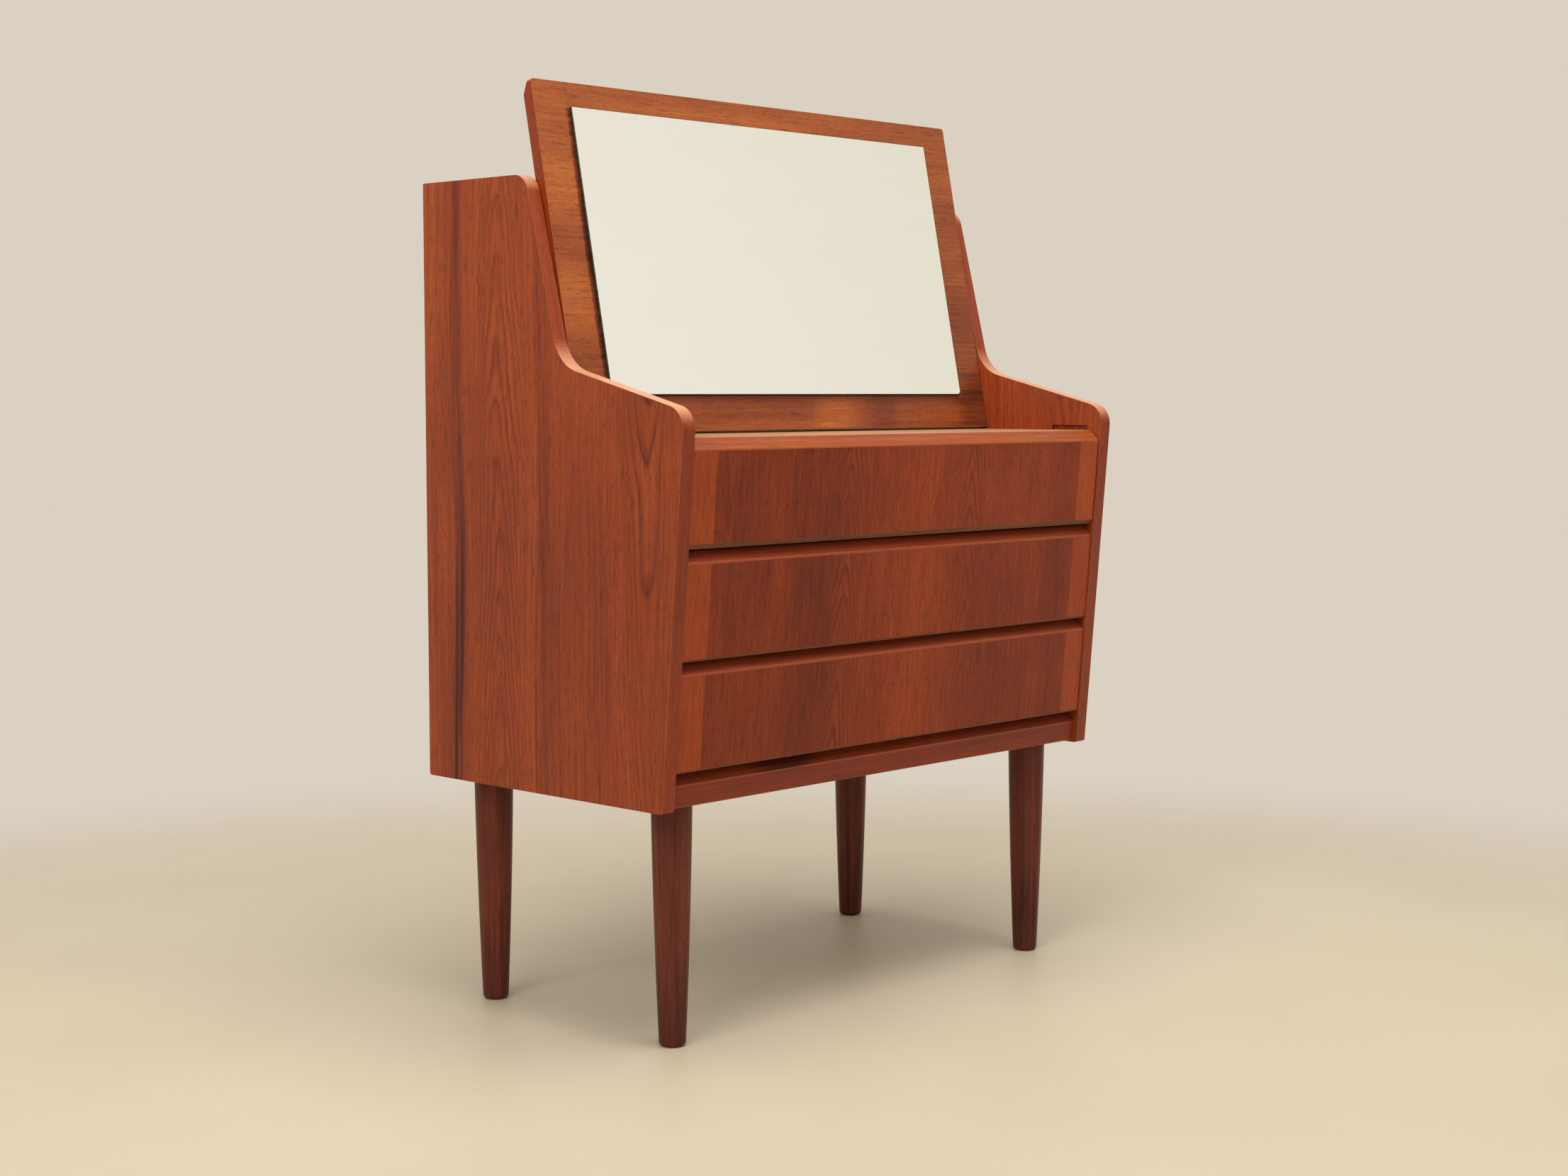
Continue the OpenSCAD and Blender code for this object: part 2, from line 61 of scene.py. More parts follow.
def addNode(tree, kind, inputs=(), stops=(), **settings):
    node = tree.nodes.new(kind)
    for name, value in settings.items():
        setattr(node, name, value)
    # inputs are a tuple in the sockets' order, or a dictionary by socket
    for socket, value in enumerate(inputs) if isinstance(inputs, tuple) else inputs.items():
        if isinstance(value, bpy.types.Node):
            value = value.outputs[0]
        if isinstance(value, bpy.types.NodeSocket):
            tree.links.new(value, node.inputs[socket])
        else:
            node.inputs[socket].default_value = value
    for used, (position, value) in enumerate(stops):  # a ramp's stops are hex colours or greys
        elements = node.color_ramp.elements
        element = elements[used] if used < len(elements) else elements.new(position)
        element.position = position
        element.color = linearColour(value) if isinstance(value, str) else (value, value, value, 1.0)
    return node


def newMaterial(name):
    material = bpy.data.materials.new(name)
    material.use_nodes = True
    return material, material.node_tree, material.node_tree.nodes["Principled BSDF"]


# feature sizes in teak as (across the grain, along it), in mm
grainSizes = {
    "wander": (120, 480),  # slow bends that every line follows
    "cloud": (60, 240),    # broad lighter and darker patches
    "streak": (5, 380),    # growth rings, cut nearly upright
    "fibre": (1.2, 60),    # fine lines inside the rings
    "pore": (0.9, 10),     # open pores, 0.3 mm wide in real teak, drawn wider so that they show
    "fleck": (2.6, 30),    # dashes where pores crowd together
}
# how the features are drawn; pairs are where a change starts and ends
grainLook = {
    "patchFade": (1.25, 0.45), "patchRagged": 1.2,  # a patch's rim, as a share of its half width
    "heartCore": 0.2, "lineBreaks": (-0.16, 0.14), "lineLeast": 0.15,  # where cathedral lines fade
    "veinFray": 2.2, "veinSwell": 1.6, "veinBreaks": (0.22, -0.2), "veinShades": (0.3, 1.3),
    "poreOpens": (0.57, 0.72), "fleckOpens": (0.6, 0.72), "fleckShare": 0.75,
    "poreSink": 1.5, "relief": 0.08,  # pores against fibres, and the depth of both in mm
    "fibreRange": (-0.2, 0.2), "smoother": 0.04, "rougher": 0.06,
}
# how dark a growth ring is across its width: pale early wood, then a dark line of late wood
ringShade = [(0.0, 0.3), (0.15, 0.0), (0.55, 0.08), (0.85, 0.65), (0.93, 1.0), (1.0, 0.3)]
# what every wood starts from
woodDefaults = {
    "alongEdge": False, "turn": (0, 0, 0), "wander": 16, "bands": [(-1, 0.5), (1, 0.5)],
    "patches": (), "hearts": (), "veins": (), "bump": 0.25, "wearAndHighlight": 0.25, "wornAndHighlightColour": "#b4602f",
    "ior": 1.48, "specular": 0.28, "sheen": 0.0, "sheenRoughness": 0.3, "sheenTint": "#ffe2bd",
}


def woodMaterial(name, look):
    look = {**woodDefaults, **look}
    material, tree, shader = newMaterial(name)
    if look["alongEdge"]:
        place = addNode(tree, "ShaderNodeUVMap", uv_map="edgeRun").outputs["UV"]
    else:
        place = addNode(tree, "ShaderNodeTexCoord").outputs["Object"]
    turned = addNode(tree, "ShaderNodeMapping", {"Vector": place, "Rotation": look["turn"]})
    axes = addNode(tree, "ShaderNodeSeparateXYZ", {0: turned})
    across, along, through = (axes.outputs[letter] for letter in look["grain"])

    def noiseOf(feature, sideways, detail):
        wide, long = (size * mm for size in grainSizes[feature])
        point = addNode(tree, "ShaderNodeCombineXYZ", (sideways, along, through))
        scaled = addNode(tree, "ShaderNodeMapping", {"Vector": point,
                                                     "Scale": (1 / wide, 1 / long, 1 / wide)})
        return addNode(tree, "ShaderNodeTexNoise", {"Vector": scaled, "Scale": 1.0, "Detail": detail,
                                                    "Roughness": 0.55}).outputs["Fac"]

    def centredNoise(feature, sideways, detail):
        noise = noiseOf(feature, sideways, detail)
        return addNode(tree, "ShaderNodeMath", (noise, 0.5), operation="SUBTRACT")

    wander = centredNoise("wander", across, 1.0)
    bent = addNode(tree, "ShaderNodeMath", (wander, look["wander"] * mm, across), operation="MULTIPLY_ADD")
    cloud = centredNoise("cloud", bent, 2.0)
    streak = centredNoise("streak", bent, 3.0)
    fibre = centredNoise("fibre", bent, 2.0)
    pore = noiseOf("pore", bent, 1.0)
    fleck = noiseOf("fleck", bent, 1.0)

    # the tone adds up every feature, and one ramp turns it into colour
    low, high = look["bands"][0][0], look["bands"][-1][0]
    bandPlace = addNode(tree, "ShaderNodeMapRange", (bent, low * mm, high * mm))
    tone = addNode(tree, "ShaderNodeValToRGB", (bandPlace,),
                   [((place - low) / (high - low), value) for place, value in look["bands"]])
    for feature, strength in ((cloud, look["cloud"]), (streak, look["streak"]), (fibre, look["fibre"])):
        tone = addNode(tree, "ShaderNodeMath", (feature, strength, tone), operation="MULTIPLY_ADD")

    # golden or dark patches, some of them painted light or shade: (across, along, wide, long, strength), in
    # mm
    outer, inner = grainLook["patchFade"]
    for middle, height, wide, long, strength in look["patches"]:
        aside = addNode(tree, "ShaderNodeMath", (bent, middle * mm), operation="SUBTRACT")
        aside = addNode(tree, "ShaderNodeMath", (aside, wide / 2 * mm), operation="DIVIDE")
        apart = addNode(tree, "ShaderNodeMath", (along, height * mm), operation="SUBTRACT")
        apart = addNode(tree, "ShaderNodeMath", (apart, long / 2 * mm), operation="DIVIDE")
        squares = addNode(tree, "ShaderNodeMath", (apart, apart), operation="MULTIPLY")
        squares = addNode(tree, "ShaderNodeMath", (aside, aside, squares), operation="MULTIPLY_ADD")
        distance = addNode(tree, "ShaderNodeMath", (squares,), operation="SQRT")
        ragged = addNode(tree, "ShaderNodeMath", (streak, grainLook["patchRagged"], distance),
                         operation="MULTIPLY_ADD")
        spot = addNode(tree, "ShaderNodeMapRange", {0: ragged, 1: outer, 2: inner, 4: strength},
                       interpolation_type="SMOOTHSTEP")
        tone = addNode(tree, "ShaderNodeMath", (tone, spot), operation="ADD")

    # cathedral figure: the rings of a tapering trunk cut beside its heart show as nested arches
    starts, ends = grainLook["lineBreaks"]
    for heart in look["hearts"]:
        reach = heart["reach"] * mm
        offset = addNode(tree, "ShaderNodeMath", (bent, heart["centre"] * mm), operation="SUBTRACT")
        squares = addNode(tree, "ShaderNodeMath", (offset, offset, (heart["depth"] * mm) ** 2),
                          operation="MULTIPLY_ADD")
        radius = addNode(tree, "ShaderNodeMath", (squares,), operation="SQRT")
        cone = addNode(tree, "ShaderNodeMath", (along, heart["taper"], radius), operation="MULTIPLY_ADD")
        uneven = addNode(tree, "ShaderNodeMath", (cloud, heart["jitter"] * mm, cone),
                         operation="MULTIPLY_ADD")
        rings = addNode(tree, "ShaderNodeMath", (uneven, heart["spacing"] * mm), operation="DIVIDE")
        ring = addNode(tree, "ShaderNodeMath", (rings,), operation="FRACT")
        line = addNode(tree, "ShaderNodeValToRGB", (ring,), ringShade)
        aside = addNode(tree, "ShaderNodeMath", (offset,), operation="ABSOLUTE")
        fade = addNode(tree, "ShaderNodeMapRange",
                       {0: aside, 1: reach, 2: reach * grainLook["heartCore"], 4: heart["strength"]},
                       interpolation_type="SMOOTHSTEP")
        mottle = addNode(tree, "ShaderNodeMath", (cloud, streak), operation="ADD")
        broken = addNode(tree, "ShaderNodeMapRange", (mottle, starts, ends, grainLook["lineLeast"]))
        drawn = addNode(tree, "ShaderNodeMath", (fade, broken), operation="MULTIPLY")
        shade = addNode(tree, "ShaderNodeMath", (line, drawn), operation="MULTIPLY")
        tone = addNode(tree, "ShaderNodeMath", (tone, shade), operation="SUBTRACT")

    # single dark mineral veins that run the length of the board, with frayed edges
    starts, ends = grainLook["veinBreaks"]
    for vein in look["veins"]:
        width = vein["width"] * mm
        offset = addNode(tree, "ShaderNodeMath", (bent, vein["centre"] * mm), operation="SUBTRACT")
        frayed = addNode(tree, "ShaderNodeMath", (streak, width * grainLook["veinFray"], offset),
                         operation="MULTIPLY_ADD")
        aside = addNode(tree, "ShaderNodeMath", (frayed,), operation="ABSOLUTE")
        swollen = addNode(tree, "ShaderNodeMath", (cloud, -width * grainLook["veinSwell"], aside),
                          operation="MULTIPLY_ADD")
        dark = addNode(tree, "ShaderNodeMapRange", {0: swollen, 1: width, 2: 0.0, 4: vein["strength"]},
                       interpolation_type="SMOOTHSTEP")
        mottle = addNode(tree, "ShaderNodeMath", (streak, fibre), operation="ADD")
        patchy = addNode(tree, "ShaderNodeMapRange", (mottle, starts, ends, *grainLook["veinShades"]))
        shade = addNode(tree, "ShaderNodeMath", (dark, patchy), operation="MULTIPLY")
        tone = addNode(tree, "ShaderNodeMath", (tone, shade), operation="SUBTRACT")

    colour = addNode(tree, "ShaderNodeValToRGB", (tone,), look["colours"])
    starts, ends = grainLook["poreOpens"]
    fineMask = addNode(tree, "ShaderNodeMapRange", {0: pore, 1: starts, 2: ends, 4: look["pores"]})
    starts, ends = grainLook["fleckOpens"]
    fleckMask = addNode(tree, "ShaderNodeMapRange",
                        {0: fleck, 1: starts, 2: ends, 4: look["pores"] * grainLook["fleckShare"]})
    poreMask = addNode(tree, "ShaderNodeMath", (fineMask, fleckMask), operation="MAXIMUM")
    pored = addNode(tree, "ShaderNodeMix", {"Factor": poreMask, "A": colour,
                                            "B": linearColour(look["poreColour"])}, data_type="RGBA")
    # arrises rubbed by hands and cloths are a little paler; on rim faces that look up the same mix is a
    # painted highlight
    wearAndHighlight = addNode(tree, "ShaderNodeAttribute", attribute_name="edgeWearAndHighlight")
    wearAndHighlightShare = addNode(tree, "ShaderNodeMath", (wearAndHighlight.outputs["Fac"], look["wearAndHighlight"]), operation="MULTIPLY")
    wornAndHighlighted = addNode(tree, "ShaderNodeMix", {"Factor": wearAndHighlightShare, "A": pored.outputs["Result"],
                                           "B": linearColour(look["wornAndHighlightColour"])}, data_type="RGBA")
    smooth, rough = look["roughness"] - grainLook["smoother"], look["roughness"] + grainLook["rougher"]
    gloss = addNode(tree, "ShaderNodeMapRange", (fibre, *grainLook["fibreRange"], smooth, rough))
    relief = addNode(tree, "ShaderNodeMath", (poreMask, -grainLook["poreSink"], fibre),
                     operation="MULTIPLY_ADD")
    bump = addNode(tree, "ShaderNodeBump", {"Height": relief, "Strength": look["bump"],
                                            "Distance": grainLook["relief"] * mm})
    tree.links.new(wornAndHighlighted.outputs["Result"], shader.inputs["Base Color"])
    tree.links.new(gloss.outputs[0], shader.inputs["Roughness"])
    tree.links.new(bump.outputs[0], shader.inputs["Normal"])
    shader.inputs["IOR"].default_value = look["ior"]
    shader.inputs["Specular IOR Level"].default_value = look["specular"]
    shader.inputs["Sheen Weight"].default_value = look["sheen"]
    shader.inputs["Sheen Roughness"].default_value = look["sheenRoughness"]
    shader.inputs["Sheen Tint"].default_value = linearColour(look["sheenTint"])
    return material


# what every material that isn't wood starts from
grittyDefaults = {"stretch": (1, 1, 1), "gritShare": 0.5, "bump": 0.2, "metallic": 0.0, "ior": 1.5,
                  "sheen": 0.0}


def grittyMaterial(name, look):  # everything that isn't wood: two colours clouded together, with grit
    look = {**grittyDefaults, **look}
    material, tree, shader = newMaterial(name)
    place = addNode(tree, "ShaderNodeTexCoord").outputs["Object"]
    stretched = addNode(tree, "ShaderNodeMapping", {"Vector": place, "Scale": look["stretch"]})
    cloudSize, gritSize = look["cloudSize"] * mm, look["gritSize"] * mm
    cloud = addNode(tree, "ShaderNodeTexNoise", {"Vector": stretched, "Scale": 1 / cloudSize, "Detail": 3.0,
                                                 "Roughness": 0.6}).outputs["Fac"]
    grit = addNode(tree, "ShaderNodeTexNoise", {"Vector": stretched, "Scale": 1 / gritSize,
                                                "Detail": 2.0}).outputs["Fac"]
    both = addNode(tree, "ShaderNodeMath", (grit, look["gritShare"], cloud), operation="MULTIPLY_ADD")
    colour = addNode(tree, "ShaderNodeValToRGB", (both,), [(0.5, look["dark"]), (1.0, look["light"])])
    gloss = addNode(tree, "ShaderNodeMapRange", (cloud, 0.3, 0.7, *look["roughness"]))
    bump = addNode(tree, "ShaderNodeBump", {"Height": grit, "Strength": look["bump"],
                                            "Distance": gritSize / 4})
    tree.links.new(colour.outputs["Color"], shader.inputs["Base Color"])
    tree.links.new(gloss.outputs[0], shader.inputs["Roughness"])
    tree.links.new(bump.outputs[0], shader.inputs["Normal"])
    shader.inputs["Metallic"].default_value = look["metallic"]
    shader.inputs["Sheen Weight"].default_value = look["sheen"]
    if look["metallic"] == 0.0:  # a metal keeps the default IOR
        shader.inputs["IOR"].default_value = look["ior"]
    return material


# teak, oiled: red-brown, satin, with long straight streaks and here and there a cathedral figure;
# ramps from its darkest streaks to its palest ones
teakBrown = [(0.0, "#34110a"), (0.25, "#592112"), (0.5, "#803517"), (0.75, "#9f4a1f"), (1.0, "#c07433")]
teakRed = [(0.0, "#34100a"), (0.25, "#592010"), (0.5, "#823213"), (0.75, "#a1461a"), (1.0, "#c2702e")]
teakSolid = [(0.0, "#34100a"), (0.25, "#591f0f"), (0.5, "#7c2c11"), (0.62, "#853c15"), (0.75, "#9a5222"),
             (1.0, "#c2803e")]
teakSoaked = [(0.0, "#2c120d"), (0.25, "#5a271b"), (0.5, "#7a3a20"), (1.0, "#a85f30")]
teakGolden = [(0.0, "#34150a"), (0.25, "#5a2814"), (0.5, "#7e3c1b"), (0.75, "#9a5223"), (1.0, "#b97c38")]
teakBase = {"cloud": 0.30, "streak": 0.50, "fibre": 0.30, "pores": 0.62, "poreColour": "#45170a",
            "roughness": 0.40, "colours": teakBrown, "sheen": 0.08}

# sliced teak veneer on the sides: grain runs up, one dark vein near the back and two crown-cut figures
teakVeneerSide = woodMaterial("teakVeneerSide", {
    **teakBase, "grain": "YZX", "wander": 26,
    "bands": [(-229, 0.56), (-168, 0.54), (-60, 0.49), (0, 0.45), (40, 0.51), (88, 0.54), (150, 0.5),
              (175, 0.45), (229, 0.57)],
    "hearts": [{"centre": 88, "depth": 14, "taper": 0.1, "spacing": 7.5, "jitter": 30, "reach": 62,
                "strength": 0.36},
               {"centre": -168, "depth": 12, "taper": -0.09, "spacing": 8.5, "jitter": 34, "reach": 52,
                "strength": 0.36}],
    "veins": [{"centre": 166, "width": 15, "strength": 0.17}, {"centre": 8, "width": 12, "strength": 0.12},
              {"centre": 22, "width": 7, "strength": 0.1}],
    # patches: the top painted lighter, as if lit from above; a faint lighter one low down, two dark streaks
    # and a darker patch
    "patches": [(0, 1010, 900, 760, 0.1), (0, 290, 900, 460, 0.05), (170, 420, 20, 430, -0.2),
                (162, 590, 10, 340, -0.12), (-165, 800, 150, 240, -0.07)],
    "specular": 0.24,
})
# the same veneer ironed on the edges, where the grain follows the outline; its pale cream is a painted
# highlight on the rims that look up, and the rubbed paleness of the arrises
teakVeneerEdge = woodMaterial("teakVeneerEdge", {
    **teakBase, "grain": "YXZ", "alongEdge": True, "cloud": 0.2, "streak": 0.3, "wearAndHighlight": 0.43,
    "wornAndHighlightColour": "#e2b48c", "specular": 0.3, "roughness": 0.32, "bump": 0.12, "colours": teakRed,
})
# crown-cut teak veneer on the drawer fronts: grain runs up and on from drawer to drawer, with two figures
teakVeneerFront = woodMaterial("teakVeneerFront", {
    **teakBase, "grain": "XZY", "wander": 18, "cloud": 0.24, "streak": 0.40, "colours": teakRed,
    "specular": 0.22,
    "bands": [(-341, 0.44), (-300, 0.40), (-240, 0.43), (-180, 0.36), (-140, 0.42), (-110, 0.52), (-75, 0.47),
              (-20, 0.54), (45, 0.58), (75, 0.53), (119, 0.52), (140, 0.46), (175, 0.39), (220, 0.44),
              (270, 0.47), (305, 0.40), (341, 0.45)],
    "patches": [(240, 652, 300, 150, 0.1)],
    "hearts": [{"centre": -114, "depth": 6, "taper": 0.19, "spacing": 7.5, "jitter": 20, "reach": 40,
                "strength": 0.43},
               {"centre": 119, "depth": 6, "taper": 0.17, "spacing": 7.5, "jitter": 22, "reach": 36,
                "strength": 0.34}],
})
# solid teak strips at the ends of the drawer fronts: brighter and plain
teakEndStrip = woodMaterial("teakEndStrip", {
    **teakBase, "grain": "XZY", "wander": 6, "cloud": 0.14, "streak": 0.3, "pores": 0.4, "colours": teakRed,
    "specular": 0.22, "bands": [(-1, 0.63), (1, 0.63)],
    "patches": [(370, 652, 90, 160, 0.09)],
})
# planed solid teak: lippings, apron and the batten behind the mirror, grain along the length
teakSolidPlaned = woodMaterial("teakSolidPlaned", {
    **teakBase, "grain": "ZXY", "wander": 5, "cloud": 0.18, "streak": 0.36, "pores": 0.4,
    "colours": teakSolid, "sheen": 0.15,
    # the tone rises with height from 600 mm up, so the top drawer's lipping is painted paler, as if lit from
    # above
    "bands": [(280, 0.465), (340, 0.465), (430, 0.47), (600, 0.48), (690, 0.6), (740, 0.61)],
    "patches": [(324, -186, 26, 110, -0.3)],
})
# teak veneer on the table top and shelf, grain from side to side; wiping left it dry, with a pale sheen
teakVeneerTop = woodMaterial("teakVeneerTop", {
    **teakBase, "grain": "YXZ", "wander": 20, "bands": [(-1, 0.72), (1, 0.72)], "roughness": 0.5,
    "specular": 0.5, "sheen": 0.9, "colours": teakGolden,
})
# patches on the mirror panel: (up from its lower edge, to the right, tall, wide, strength), in mm
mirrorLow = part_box("mirror_panel")[0]
mirrorFoot = (mirrorLow.z * math.cos(mirrorLean) + mirrorLow.y * math.sin(mirrorLean)) / mm
mirrorPatches = [(mirrorFoot + up, side, tall, wide, strength) for up, side, tall, wide, strength in (
    # left of the glass
    (300, -352, 84, 150, 0.17), (160, -352, 80, 150, 0.17), (232, -360, 40, 120, -0.05),
    (92, -360, 40, 110, -0.1),
    # below it; the dark one at its right end is painted shade beside the right wing
    (22, 72, 60, 100, 0.2), (28, 165, 60, 70, -0.15), (30, 360, 90, 90, -0.2), (8, -60, 16, 330, 0.14),
    (30, -20, 50, 120, -0.03),
    # above it, then on its right, where the dark ones are painted shade beside the right wing
    (404, -90, 20, 460, 0.12), (300, 362, 60, 100, -0.08), (160, 362, 90, 100, -0.15),
    (60, 350, 60, 100, -0.1),
    # painted shadow in the corner along its left edge, beside the glass
    (227, -327, 400, 8, -0.4),
)]
# figured veneer on the mirror panel, grain across it, with golden patches, painted shadow by the glass's left
# edge and painted shade by the right wing; its plane leans back
teakVeneerMirror = woodMaterial("teakVeneerMirror", {
    **teakBase, "grain": "ZXY", "turn": (mirrorLean, 0, 0), "wander": 10, "streak": 0.4,
    "bands": [(690, 0.5), (760, 0.54), (800, 0.57), (1160, 0.58)], "patches": mirrorPatches,
    "colours": teakGolden,
})
# plain veneer on the mirror board's back
teakVeneerBack = woodMaterial("teakVeneerBack", {
    **teakBase, "grain": "ZXY", "turn": (mirrorLean, 0, 0), "wander": 22,
})
# the foot of the mirror board, left bare of veneer and painted very pale, a painted highlight that keeps this
# downward face light though it is in shade
bareFootPaintedLit = woodMaterial("bareCoreSawnPaintedLit", {
    **teakBase, "grain": "YXZ", "bands": [(-1, 0.6), (1, 0.6)], "roughness": 0.6, "sheen": 0.4, "wearAndHighlight": 0.0,
    "colours": [(0.0, "#d0a070"), (0.5, "#f0cf9e"), (1.0, "#f6e2c2")], "poreColour": "#c09a6a",
})
# turned solid teak, darker where the oil soaked in
teakTurned = woodMaterial("teakTurned", {
    **teakBase, "grain": "XZY", "wander": 8, "cloud": 0.2, "pores": 0.5, "specular": 0.22,
    "colours": teakSoaked, "bands": [(-1, 0.27), (1, 0.27)],
    "patches": [(0, -20, 2400, 260, -0.12)],  # darker towards the floor
})
# fumed oak strip under each front, duller and browner than the teak
fumedOak = woodMaterial("fumedOak", {
    **teakBase, "grain": "ZXY", "roughness": 0.5, "poreColour": "#3a2014", "wearAndHighlight": 0.0,
    "colours": [(0.0, "#3a1f12"), (0.5, "#6e4027"), (1.0, "#9a6840")],
})
# beech and birch inside: pale, fine-pored and dry
beechBase = {"cloud": 0.3, "streak": 0.35, "fibre": 0.25, "pores": 0.45, "poreColour": "#a06c42",
             "roughness": 0.5, "colours": [(0.0, "#a9794c"), (0.5, "#cda374"), (1.0, "#e5c79c")], "wearAndHighlight": 0.0}
beechAlong = woodMaterial("beechPlanedAlong", {**beechBase, "grain": "ZYX"})    # planed, front to back
beechAcross = woodMaterial("beechPlanedAcross", {**beechBase, "grain": "ZXY"})  # planed, side to side
birchPly = woodMaterial("birchPlywood", {  # rotary-cut birch: pale, with broad soft figure
    **beechBase, "grain": "YXZ", "colours": [(0.0, "#b98f5e"), (0.5, "#dcbd8d"), (1.0, "#efd9b1")],
    "hearts": [{"centre": 20, "depth": 40, "taper": 0.1, "spacing": 26, "jitter": 60, "reach": 220,
                "strength": 0.2}],
})
bottomBoard = woodMaterial("bottomBoardVeneered", {  # plain veneer under the carcass, dull
    **beechBase, "grain": "YXZ", "roughness": 0.6,
    "colours": [(0.0, "#7a4b2e"), (0.5, "#a1704a"), (1.0, "#bf9168")],
})
hardboard = grittyMaterial("hardboardPressed", {  # pressed wood fibre: brown, with a smooth dull face
    "dark": "#704c31", "light": "#8e6b4a", "cloudSize": 160, "gritSize": 1.6, "gritShare": 0.6,
    "roughness": (0.5, 0.7), "bump": 0.3,
})
zincSteel = grittyMaterial("steelZincPlated", {  # zinc-plated steel: grey, slightly mottled
    "dark": "#7f8285", "light": "#c3c5c4", "cloudSize": 6, "gritSize": 0.7, "roughness": (0.28, 0.45),
    "metallic": 1.0,
})
brass = grittyMaterial("brassTurned", {  # turned brass: yellow, dulled, with fine marks round it
    "dark": "#8d6a2c", "light": "#d2aa5c", "cloudSize": 5, "gritSize": 0.5, "roughness": (0.25, 0.4),
    "metallic": 1.0, "stretch": (4, 1, 1),
})
nylon = grittyMaterial("nylonMoulded", {  # moulded nylon, dyed dark brown: satin
    "dark": "#1e1410", "light": "#38261c", "cloudSize": 8, "gritSize": 0.6, "roughness": (0.35, 0.5),
    "ior": 1.53,
})
foamTape = grittyMaterial("foamTape", {  # closed-cell foam: matt, nearly black, with fine cells
    "dark": "#1d1d1e", "light": "#3b3b3c", "cloudSize": 4, "gritSize": 0.8, "roughness": (0.85, 0.95),
    "bump": 0.6,
})
woolFelt = grittyMaterial("woolFelt", {  # pressed wool: matt green-grey with a soft nap
    "dark": "#3c4a3a", "light": "#71806a", "cloudSize": 2.5, "gritSize": 0.5, "roughness": (0.9, 1.0),
    "bump": 0.8, "sheen": 0.5,
})


def silveredGlass(look):  # float glass silvered behind: a clean mirror with the faintest haze from wiping
    material, tree, shader = newMaterial("glassSilvered")
    place = addNode(tree, "ShaderNodeTexCoord").outputs["Object"]
    wiped = addNode(tree, "ShaderNodeMapping", {"Vector": place, "Rotation": look["turn"],
                                                "Scale": look["strokes"]})
    haze = addNode(tree, "ShaderNodeTexNoise", {"Vector": wiped, "Scale": 1.6, "Detail": 4.0}).outputs["Fac"]
    colour = addNode(tree, "ShaderNodeValToRGB", (haze,), [(0.3, look["dull"]), (0.7, look["clear"])])
    gloss = addNode(tree, "ShaderNodeMapRange", (haze, 0.35, 0.75, *look["roughness"]))
    tree.links.new(colour.outputs["Color"], shader.inputs["Base Color"])
    tree.links.new(gloss.outputs[0], shader.inputs["Roughness"])
    shader.inputs["Metallic"].default_value = 1.0
    return material


silver = silveredGlass({"turn": (0, 0.5, 0), "strokes": (3, 1, 14), "dull": "#f9f9f5", "clear": "#fafaf7",
                        "roughness": (0.0, 0.003)})
glassGlintRight = grittyMaterial("glassGroundPaintedGlint", {  # painted glint: the ground bevel on the glass's right side, pale and bluish-white, with tiny chips
    "dark": "#7f8c96", "light": "#f2f7ff", "cloudSize": 3, "gritSize": 1.2, "gritShare": 0.9,
    "roughness": (0.08, 0.3), "bump": 0.7, "ior": 1.52,
})
glassEdgeShade = grittyMaterial("glassEdgePaintedShade", {  # painted shade: the glass's sides and its other bevels, nearly black, for the dark seen into its thickness and the shadow beside it
    "dark": "#150d08", "light": "#3a3a2e", "cloudSize": 9, "gritSize": 1.5, "roughness": (0.1, 0.25),
    "ior": 1.52,
})
print("materials are ready")


def keepPiece(bm, name, body, materials, replaced=(), sharpAngle=35):
    for face in bm.faces:
        face.smooth = True
    mesh = bpy.data.meshes.new(name)
    bm.to_mesh(mesh)
    bm.free()
    mesh.set_sharp_from_angle(angle=math.radians(sharpAngle))
    piece = bpy.data.objects.new(name, mesh)
    scene.collection.objects.link(piece)
    for material in materials:
        mesh.materials.append(material)
    # keeps the flat faces flat beside the roundings
    normals = piece.modifiers.new("evenNormals", "WEIGHTED_NORMAL")
    normals.keep_sharp = True
    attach(piece, body)
    if replaced:
        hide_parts(*replaced)
    return piece


def mergedCopy(node):  # a CAD node's triangles, merged into whole faces
    bm = bmesh.new()
    bm.from_mesh(nodes[node].data)
    bmesh.ops.remove_doubles(bm, verts=bm.verts, dist=0.001 * mm)
    bmesh.ops.dissolve_limit(bm, angle_limit=math.radians(0.4), verts=bm.verts, edges=bm.edges)
    bm.normal_update()
    return bm


def roundEdges(bm, pick, width, segments, leastAngle=0.25):  # in radians; flatter edges stay as they are
    wearAndHighlight = bm.faces.layers.float.get("edgeWearAndHighlight") or bm.faces.layers.float.new("edgeWearAndHighlight")
    edges = [edge for edge in bm.edges
             if len(edge.link_faces) == 2 and edge.calc_face_angle() > leastAngle and pick(edge)]
    made = bmesh.ops.bevel(bm, geom=edges, offset=width * mm, offset_type="OFFSET", segments=segments,
                           profile=0.5, affect="EDGES", material=-1, clamp_overlap=True)
    for face in made["faces"]:
        face[wearAndHighlight] = 1.0
    return len(edges)


def nearestRun(point, corners, facing):  # the outline segment nearest to a point, seen along facing
    best = (math.inf, 0)
    for i, corner in enumerate(corners):
        after = corners[(i + 1) % len(corners)]
        lift = facing * (point - corner).dot(facing)
        share = intersect_point_line(point - lift, corner, after)[1]
        closest = corner.lerp(after, min(max(share, 0.0), 1.0))
        best = min(best, ((point - lift - closest).length, i))
    return best


# the rim of a veneered board; faces that look up get a painted highlight, paler the more they look up, over
# the rubbed arrises
rimLook = {"onOutline": 0.03, "flat": 0.98, "arrisWear": 0.45, "highlightFrom": 0.25, "highlightOver": 0.65}


